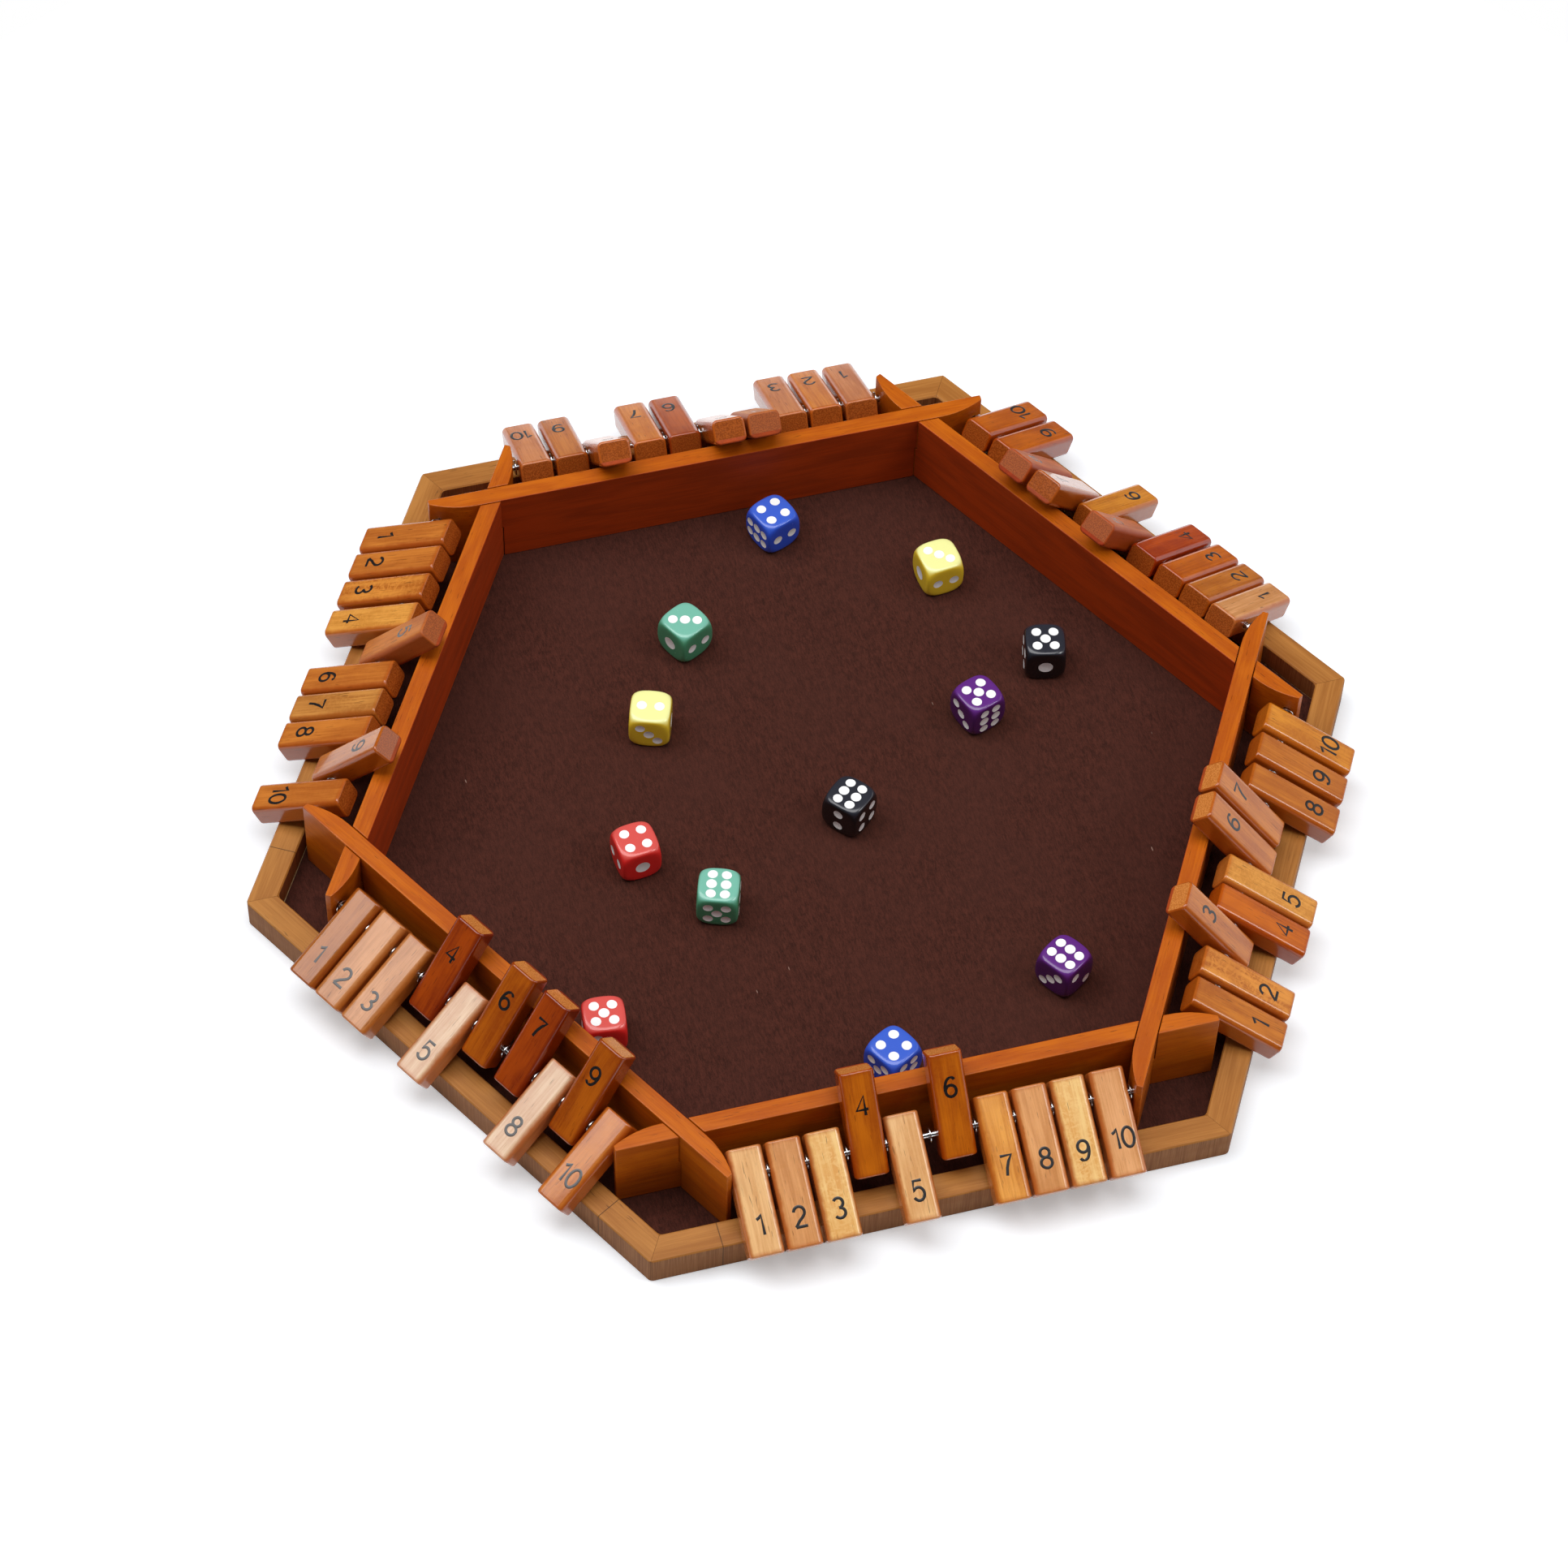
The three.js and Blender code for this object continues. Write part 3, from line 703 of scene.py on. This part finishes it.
def number_mesh(number, strokes):
    """A printed number lying flat about the origin, with its strokes as thin round-ended ribbons of ink."""
    curve = bpy.data.curves.new("number", "CURVE")
    curve.dimensions = "3D"
    curve.bevel_depth = DIGIT_STROKE / 2
    curve.bevel_resolution = 2
    curve.use_fill_caps = True
    digits = str(number)
    for position, digit in enumerate(digits):
        shift = (position - (len(digits) - 1) / 2) * DIGIT_PITCH
        for stroke in strokes[digit]:
            spline = curve.splines.new("POLY")
            spline.points.add(len(stroke) - 1)
            for point, (x, y) in zip(spline.points, stroke):
                inner = DIGIT_HEIGHT - DIGIT_STROKE
                point.co = (shift + x * inner, y * inner, 0, 1)
    pen = bpy.data.objects.new("pen", curve)
    bpy.context.scene.collection.objects.link(pen)
    graph = bpy.context.evaluated_depsgraph_get()
    mesh = bpy.data.meshes.new_from_object(pen.evaluated_get(graph))
    bpy.data.objects.remove(pen)
    mesh.transform(Matrix.Diagonal((1, 1, 2 * INK_LIFT / DIGIT_STROKE, 1)))
    mesh.polygons.foreach_set("material_index", [MARK_SLOT] * len(mesh.polygons))
    return mesh


def numbered_tile(tile, number, strokes, cut_number, further, dull, end_marks):
    """A tile with its number printed on both broad faces, and its grain marked."""
    bm = bmesh.new()
    bm.from_mesh(tile)
    far_end = TILE_LENGTH - TILE_PIVOT_END
    # A raised tile is read on its outer face with the far end up, and a lowered one with its pivot end up
    standing = (Matrix.Translation((0, -TILE_THICKNESS / 2, far_end - DIGIT_FROM_END_STANDING))
                @ Matrix.Rotation(math.pi / 2, 4, "X"))
    lying = (Matrix.Translation((0, TILE_THICKNESS / 2, far_end - DIGIT_FROM_END_LYING - further))
             @ Matrix.Rotation(-math.pi / 2, 4, "X"))
    for matrix in (standing, lying):
        print_mesh = number_mesh(number, strokes)
        print_mesh.transform(matrix)
        bm.from_mesh(print_mesh)
        bpy.data.meshes.remove(print_mesh)
    mesh = mesh_of("numbered_tile", bm)
    mark_grain(mesh, TILE_GRAIN, cut_number, (-TILE_PIVOT_END, far_end), end_marks)
    mark_local(mesh, (-TILE_WIDTH / 2, -TILE_THICKNESS / 2, -TILE_PIVOT_END),
               (TILE_WIDTH / 2, TILE_THICKNESS / 2, far_end))
    dulling = mesh.attributes.new("dull", "FLOAT", "POINT")
    dulling.data.foreach_set("value", [float(dull)] * len(mesh.vertices))
    smooth_edges(mesh)
    return mesh


def row_layout(raised, shares):
    """The middle of each tile and of each gap along the rod."""
    moving_gap = WASHER_THICKNESS + 2 * WASHER_CLEARANCE
    row_length = (TILES_PER_ROW * TILE_WIDTH + (TILES_PER_ROW - 1) * WASHER_THICKNESS
                  + 2 * ROW_END_CLEARANCE + ROW_PLAY)
    least = []
    for gap in range(TILES_PER_ROW + 1):
        if gap in (0, TILES_PER_ROW):
            least.append(ROW_END_CLEARANCE)
        elif (gap in raised) != (gap + 1 in raised):
            least.append(moving_gap)
        else:
            least.append(WASHER_THICKNESS)
    play = row_length - TILES_PER_ROW * TILE_WIDTH - sum(least)
    gaps = [low + play * share / sum(shares) for low, share in zip(least, shares)]
    tiles, washers = [], []
    along = -row_length / 2
    for gap, width in enumerate(gaps):
        if width >= WASHER_THICKNESS * WASHER_GAP_SHARE:
            washers.append((along + width / 2, width))
        along += width
        if gap < TILES_PER_ROW:
            tiles.append(along + TILE_WIDTH / 2)
            along += TILE_WIDTH
    return tiles, washers


def tile_runs(raised):
    """Neighbouring tiles that stand alike, as (up, numbers)."""
    runs = []
    for number in range(1, TILES_PER_ROW + 1):
        up = number in raised
        if runs and runs[-1][0] == up:
            runs[-1][1].append(number)
        else:
            runs.append((up, [number]))
    return runs


def make_row(side, tile, strokes, woods, inks):
    """A side's ten tiles, each a piece of its own on the body of its run."""
    turns, raised, shares, tones = SIDES[side]
    middles, _ = row_layout(raised, shares)
    tones = tones.split()
    for up, numbers in tile_runs(raised):
        node = (f"tile_{side}_{numbers[0]}" if len(numbers) == 1
                else f"tiles_{side}_{numbers[0]}_to_{numbers[-1]}")
        lean = Matrix.Rotation(LEAN_TURN if up else LIE_TURN, 4, "X")
        for number in numbers:
            further = LYING_NUMBERS_FURTHER.get(side, {}).get(number, 0) * MM
            dull = number in DULL_TILES.get(side, ())
            cut_number = number + (TILES_PER_ROW + 1) * turns
            mesh = numbered_tile(tile, number, strokes, cut_number, further, dull, END_MARKS[side])
            # One side's lowered tiles take the grey ink, a painted glare on their numbers
            ink = inks["glare_grey" if side == GLARE_GREY_NUMBERS_SIDE and not up else "fresh"]
            matrix = (side_matrix(turns) @ Matrix.Translation((middles[number - 1], -ROD_OUT, ROD_HEIGHT))
                      @ lean)
            place_piece(f"tile_{side}_{number}_wood", mesh, matrix, [woods[tones[number - 1]], ink], node,
                        "tile_wood", [node])


def make_rod(side, steel):
    """The rod and the washers on it, turned as rings about the rod's axis."""
    turns, raised, shares, _ = SIDES[side]
    _, washers = row_layout(raised, shares)
    inner, outer = ROD_RADIUS * WASHER_HOLE_SHARE, WASHER_RADIUS * WASHER_RADIUS_SHARE
    bevel = WASHER_EDGE_BEVEL
    bm = bmesh.new()
    bmesh.ops.create_cone(bm, cap_ends=True, segments=28, radius1=ROD_RADIUS, radius2=ROD_RADIUS,
                          depth=2 * ROD_HALF_LENGTH)
    for middle, width in washers:
        thickness = min(WASHER_THICKNESS, width) * WASHER_THICKNESS_SHARE
        low, high = middle - thickness / 2, middle + thickness / 2
        profile = [(inner, low), (outer - bevel, low), (outer, low + bevel), (outer, high - bevel),
                   (outer - bevel, high), (inner, high)]
        ring = [bm.verts.new((radius, 0, along)) for radius, along in profile]
        edges = [bm.edges.new(pair) for pair in zip(ring, ring[1:] + ring[:1])]
        bmesh.ops.spin(bm, geom=ring + edges, cent=(0, 0, 0), axis=(0, 0, 1), angle=2 * math.pi, steps=32,
                       use_merge=True)
    bmesh.ops.remove_doubles(bm, verts=bm.verts, dist=SPIN_MERGE_WITHIN)
    bmesh.ops.recalc_face_normals(bm, faces=bm.faces)
    mesh = mesh_of("rod", bm)
    smooth_edges(mesh, 25)
    matrix = (side_matrix(turns) @ Matrix.Translation((0, -ROD_OUT, ROD_HEIGHT))
              @ Matrix.Rotation(math.pi / 2, 4, "Y"))
    place_piece(f"rod_{side}_bright", mesh, matrix, [steel], "tray", "steel", [f"rod_{side}"])


def merged_copy(node, matrix=Matrix.Identity(4)):
    """A bmesh copy of a node's mesh, moved, with its points merged and its flat faces whole."""
    bm = bmesh.new()
    bm.from_mesh(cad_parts[node].data)
    bmesh.ops.transform(bm, matrix=matrix, verts=bm.verts)
    bmesh.ops.remove_doubles(bm, verts=bm.verts, dist=MERGE_WITHIN)
    bmesh.ops.dissolve_limit(bm, angle_limit=math.radians(1), verts=bm.verts, edges=bm.edges)
    return bm


def soften(bm, width, least_degrees=20):
    """Bevels each edge where faces meet at more than the least angle."""
    sharp = [e for e in bm.edges if len(e.link_faces) == 2
             and e.calc_face_angle(0) > math.radians(least_degrees)]
    bmesh.ops.bevel(bm, geom=sharp, offset=width, offset_type="OFFSET", segments=2, profile=0.5,
                    affect="EDGES", material=-1, clamp_overlap=True)


def make_wall(side, wood):
    """A wall board with softened edges, and its grain along its length."""
    turns = SIDES[side][0]
    bm = merged_copy(f"wall_{side}", side_matrix(-turns))
    soften(bm, WALL_ARRIS)
    mesh = mesh_of("wall", bm)
    mark_lengthways_grain(mesh, WALL_GRAIN, turns)
    smooth_edges(mesh)
    place_piece(f"wall_{side}_board", mesh, side_matrix(turns), [wood], "tray", "wall_wood", [f"wall_{side}"])


def make_rails(wood):
    """The rim's six rails, mitred at the corners. Some have a glued seam a little way from a corner."""
    half_length = RIM_HIGH.x / 2
    for side, (turns, *_) in SIDES.items():
        bm = merged_copy("rim", side_matrix(-turns))
        upright = [e for e in bm.edges if e.calc_length() > RIM_HIGH.z / 2
                   and abs(e.verts[0].co.z - e.verts[1].co.z) > UPRIGHT_SHARE * e.calc_length()]
        bmesh.ops.bevel(bm, geom=upright, offset=RIM_CORNER_RADIUS, offset_type="OFFSET", segments=4,
                        profile=0.5, affect="EDGES", material=-1)
        soften(bm, RAIL_EASING, 30)
        for direction in (-1, 1):
            across = Vector((direction * math.cos(SIDE_TURN / 2), math.sin(SIDE_TURN / 2), 0))
            geometry = bm.verts[:] + bm.edges[:] + bm.faces[:]
            bmesh.ops.bisect_plane(bm, geom=geometry, plane_co=-across * MITRE_GAP, plane_no=across,
                                   clear_outer=True)
            open_edges = [e for e in bm.edges if e.is_boundary]
            bmesh.ops.holes_fill(bm, edges=open_edges)
        mesh = mesh_of("rail", bm)
        # The distance from the seam, which is far away on a rail without one
        corner = SEAM_CORNERS.get(side)
        seam_along = corner * (half_length - SEAM_FROM_CORNER) if corner else NO_SEAM_NEAR
        from_seam = [v.co.x - seam_along for v in mesh.vertices]
        mark_lengthways_grain(mesh, RAIL_GRAIN, turns)
        mesh.attributes.new("seam", "FLOAT", "POINT").data.foreach_set("value", from_seam)
        smooth_edges(mesh)
        nodes = ["rim"] if side == "front" else []
        place_piece(f"rail_{side}", mesh, side_matrix(turns), [wood], "tray", "rim_wood", nodes)


def make_floor_layer(node, name, material, slot):
    """The board or the felt that makes the tray's floor, with its edges eased."""
    bm = merged_copy(node)
    soften(bm, FLOOR_BOARD_EASING)
    mesh = mesh_of(name, bm)
    smooth_edges(mesh)
    return place_piece(name, mesh, Matrix.Identity(4), [material], "tray", slot, [node])


def make_floor(wood, cloth):
    make_floor_layer("board", "base_board", wood, "board_wood")
    felt = make_floor_layer("felt", "tray_felt", cloth, "felt")


def pips(value, lay):
    """Places of a face's pips along its two axes."""
    p, c, r = PIP_OUT, SIX_COLUMN_OUT, SIX_ROW_OUT
    twos = {"across": [(-p, 0), (p, 0)], "up": [(0, -p), (0, p)], "falling": [(-p, p), (p, -p)],
            "rising": [(-p, -p), (p, p)]}
    corners = [(-p, -p), (p, -p), (-p, p), (p, p)]
    if value == "1":
        return [(0, 0)]
    if value == "2":
        return twos[lay]
    if value == "3":
        return twos[lay] + [(0, 0)]
    if value == "4":
        return corners
    if value == "5":
        return corners + [(0, 0)]
    if lay == "across":
        return [(along, side) for along in (-r, 0, r) for side in (-c, c)]
    return [(side, along) for along in (-r, 0, r) for side in (-c, c)]


def die_faces(top, right, left):
    """Each face's value, lay and the matrix that lays its pattern, drawn on the XY plane, on the face."""
    def opposite(face):
        value = str(7 - int(face[0]))
        return value, {"2": "falling", "3": "rising", "6": "up"}.get(value, "")

    out = Matrix.Translation((0, 0, DIE_EDGE / 2))
    to_right = Matrix.Rotation(math.pi / 2, 4, "Z") @ Matrix.Rotation(math.pi / 2, 4, "X")
    to_left = Matrix.Rotation(math.pi / 2, 4, "X")
    half = Matrix.Rotation(math.pi, 4, "Z")
    under = Matrix.Rotation(math.pi, 4, "X")
    return [(*top, out), (*right, to_right @ out), (*left, to_left @ out), (*opposite(top), under @ out),
            (*opposite(right), half @ to_right @ out), (*opposite(left), half @ to_left @ out)]


def pip_cutter(faces):
    """Shallow round dishes for every pip of a die, as one mesh in the pips' own paint."""
    bm = bmesh.new()
    for value, lay, matrix in faces:
        radius = ONE_PIP_RADIUS if value == "1" else PIP_RADIUS
        ball = (radius ** 2 + PIP_DEPTH ** 2) / (2 * PIP_DEPTH)
        for x, y in pips(value, lay):
            place = matrix @ Matrix.Translation((x, y, ball - PIP_DEPTH))
            made = bmesh.ops.create_uvsphere(bm, u_segments=28, v_segments=40, radius=ball, matrix=place)
            inward = (matrix.to_3x3() @ Vector((0, 0, -1))).normalized()
            far = [v for v in made["verts"]
                   if (v.co - place.translation).dot(inward) < ball * PIP_CAP_SHARE]
            bmesh.ops.delete(bm, geom=far, context="VERTS")
            rim_edges = [e for e in bm.edges if e.is_boundary]
            bmesh.ops.holes_fill(bm, edges=rim_edges)
    cutter = mesh_of("pips", bm)
    cutter.polygons.foreach_set("material_index", [MARK_SLOT] * len(cutter.polygons))
    return cutter


def die_body():
    """A cube inside a ball that rounds off its corners, with every edge eased from one into the next."""
    bm = bmesh.new()
    bmesh.ops.create_cube(bm, size=DIE_EDGE)
    bmesh.ops.subdivide_edges(bm, edges=bm.edges[:], cuts=DIE_CUTS, use_grid_fill=True)
    for vertex in bm.verts:
        reach = [abs(along) / (DIE_EDGE / 2) for along in vertex.co] + [vertex.co.length / DIE_BALL_RADIUS]
        vertex.co /= sum(share ** DIE_FULLNESS for share in reach) ** (1 / DIE_FULLNESS)
    return mesh_of("die", bm)


def crisp_pips(mesh):
    """Smooth faces, with sharp edges round the pips."""
    crease = math.radians(35)
    bm = bmesh.new()
    bm.from_mesh(mesh)
    for face in bm.faces:
        face.smooth = True
    for edge in bm.edges:
        numbers = {face.material_index for face in edge.link_faces}
        edge.smooth = len(numbers) == 1 and edge.calc_face_angle(0) < crease
    bm.to_mesh(mesh)
    bm.free()


def make_die(node, plastic, paint):
    """A die with dished pips, where the frame has it."""
    degrees, top, right, left = DICE[node]
    die = die_body()
    cutter = pip_cutter(die_faces(top, right, left))
    for mesh in (die, cutter):
        for material in (plastic, paint):
            mesh.materials.append(material)
    mesh = cut_away(die, cutter)
    crisp_pips(mesh)
    low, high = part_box(node)
    matrix = Matrix.Translation((low + high) / 2) @ Matrix.Rotation(math.radians(degrees), 4, "Z")
    place_piece(f"{node}_plastic", mesh, matrix, [], node, f"plastic_{node.split('_')[1]}", [node])


def make_camera():
    """The camera stands where the photograph's did."""
    place = (-0.2926, -0.9512, 1.3711)
    right = Vector((0.96573, -0.25873, 0.02082))
    up = Vector((0.19684, 0.78229, 0.59100))
    back = Vector((-0.16920, -0.56665, 0.80640))
    camera = bpy.data.cameras.new("camera")
    camera.sensor_width = 36
    camera.lens = 108.48
    camera.clip_start = 0.05
    camera.clip_end = 20
    stand = bpy.data.objects.new("camera", camera)
    turn = Matrix((right, up, back)).transposed().to_4x4()
    stand.matrix_world = Matrix.Translation(place) @ turn
    bpy.context.scene.collection.objects.link(stand)
    bpy.context.scene.camera = stand


def make_lamp(name, place, size, power):
    """A soft box aimed at the middle of the tray."""
    lamp = bpy.data.lights.new(name, "AREA")
    lamp.shape = "RECTANGLE"
    lamp.size, lamp.size_y = size
    lamp.energy = power
    stand = bpy.data.objects.new(name, lamp)
    stand.location = place
    stand.rotation_mode = "QUATERNION"
    stand.rotation_quaternion = (-Vector(place)).to_track_quat("-Z", "Y")
    bpy.context.scene.collection.objects.link(stand)


def make_stage():
    """A round white sheet, whose edge can't be told from the white room behind it."""
    bm = bmesh.new()
    bmesh.ops.create_circle(bm, cap_ends=True, segments=96, radius=SHEET_RADIUS)
    bmesh.ops.translate(bm, verts=bm.verts, vec=(0, 0, -SHEET_DROP))
    floor = bpy.data.objects.new("floor", mesh_of("floor", bm))
    paint = Paint("white_floor")
    cloudy = paint.noise(paint.place(), 3, 1, 0.5)
    base = paint.mix(cloudy * 0.2, colour(234, 238, 243), colour(231, 235, 241))
    rays = paint.node("ShaderNodeLightPath")
    glow = rays["Is Camera Ray"] + 1.1 * rays["Is Glossy Ray"] + rays["Is Transmission Ray"]
    paint.finish({"Base Color": base, "Roughness": 0.9, "Emission Color": (1, 1, 1, 1),
                  "Emission Strength": glow * 0.3})
    floor.data.materials.append(paint.owner)
    bpy.context.scene.collection.objects.link(floor)


def make_room():
    """White to the camera. To the object it is a dim room with a pale wall at the right."""
    paint = Paint("room", bpy.data.worlds)
    rightward = paint.split(paint.node("ShaderNodeTexCoord")["Generated"])["X"]
    rays = paint.node("ShaderNodeLightPath")
    reflected = 0.03 + paint.ramp(rightward, 0.75, 0.95)
    lighting = 0.16
    seen = rays["Is Camera Ray"]
    glossy = rays["Is Glossy Ray"]
    strength = seen + (1 - seen) * (glossy * reflected + (1 - glossy) * lighting)
    shader = paint.node("ShaderNodeBackground", None, {"Color": (1, 1, 1, 1), "Strength": strength})
    paint.node("ShaderNodeOutputWorld", None, {"Surface": shader["Background"]})
    bpy.context.scene.world = paint.owner


def make_tray_and_tiles():
    steel = bright_steel()
    wall_wood = varnished_wood("wall_wood", WALL_WOOD, WALL_FINISH)
    woods = tile_woods()
    inks = {
        "fresh": ink_material("digit_ink", colour(20, 17, 16)),
        # Grey ink: painted glare, standing in for the varnish's reflection over the numbers
        "glare_grey": ink_material("glare_grey_ink", colour(78, 74, 72)),
    }
    strokes = digit_strokes()
    tile = tile_mesh()
    for side in SIDES:
        make_row(side, tile, strokes, woods, inks)
        make_rod(side, steel)
        make_wall(side, wall_wood)
    make_rails(rim_wood())
    make_floor(board_wood(), felt_cloth())


def make_dice():
    paint = pip_paint()
    plastics = {name: die_plastic(f"die_{name}", deep, pale) for name, (deep, pale) in DIE_SHADED_AND_LIT_TONES.items()}
    for node in DICE:
        make_die(node, plastics[node.split("_")[1]], paint)


bpy.context.scene.view_settings.view_transform = "Standard"
make_camera()
make_stage()
make_room()
make_lamp("softbox_above", (-0.45, 0.25, 2.05), (1.4, 3.0), 48)
make_lamp("softbox_right", (1.05, -0.54, 1.22), (0.6, 0.6), 6)
make_tray_and_tiles()
make_dice()
